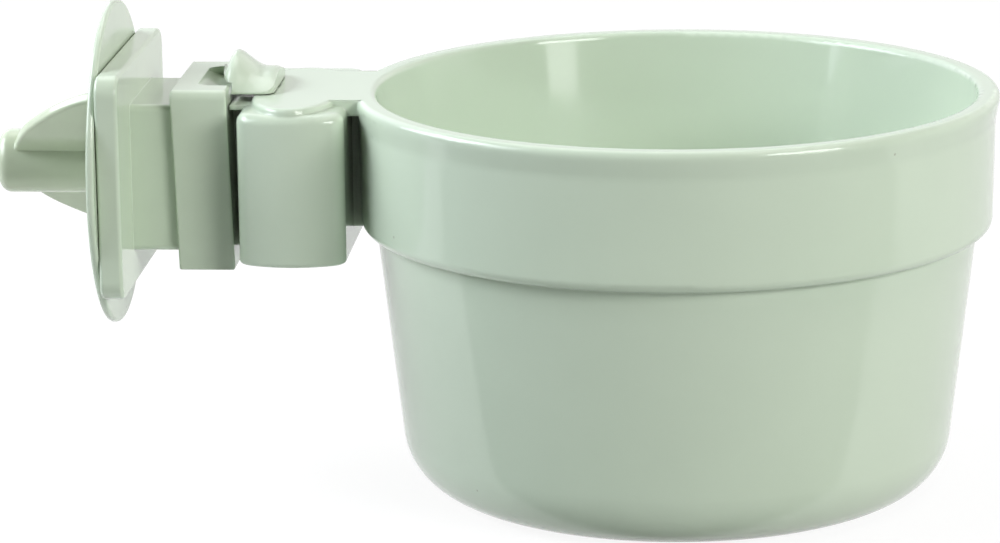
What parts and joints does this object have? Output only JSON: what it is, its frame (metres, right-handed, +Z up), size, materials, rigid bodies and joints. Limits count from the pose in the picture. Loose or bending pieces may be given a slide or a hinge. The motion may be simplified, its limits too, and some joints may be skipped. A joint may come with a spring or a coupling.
{
  "type": "cage seed cup",
  "caption": "Round plastic seed cup with a banded rim that lifts off a rail bracket; a slide lock keeps it on and a wing nut with a disc clamps the bracket to cage wires.",
  "frame": {"origin": "centre of the cup's flat base, on its underside", "axes": "+Z up along the cup's axis, +X from the clamp towards the cup, +Y away from the picture's viewer"},
  "size_m": [0.1564, 0.1, 0.0764],
  "materials": {
    "cup_plastic": "gloss",
    "clamp_plastic": "gloss",
    "plated_steel": "zinc plated"
  },
  "bodies": {
    "bracket": {"cage_bracket": "clamp_plastic", "clamp_bolt": "plated_steel"},
    "bowl": {"bowl": "cup_plastic"},
    "slide_lock": {"slide_lock": "clamp_plastic"},
    "clamp_disc": {"clamp_disc": "clamp_plastic"},
    "wing_nut": {"wing_nut": "clamp_plastic"}
  },
  "joints": [
    {"name": "bowl_lift", "type": "slide", "parent": "bracket", "child": "bowl", "axis": [0, 0, 1], "range_m": [0, 0.022]},
    {"name": "lock_slide", "type": "slide", "parent": "bowl", "child": "slide_lock", "axis": [-1, 0, 0], "range_m": [0, 0.003]},
    {"name": "disc_slide", "type": "slide", "parent": "bracket", "child": "clamp_disc", "axis": [-1, 0, 0], "range_m": [0, 0.0081]},
    {"name": "nut_turn", "type": "hinge", "parent": "clamp_disc", "child": "wing_nut", "pos_m": [-0.098, 0, 0.051], "axis": [-1, 0, 0], "range_deg": [0, 2880]}
  ],
  "couplings": [
    {"joint": "disc_slide", "follows": "nut_turn", "m_per_rad": 0.00015915}
  ]
}
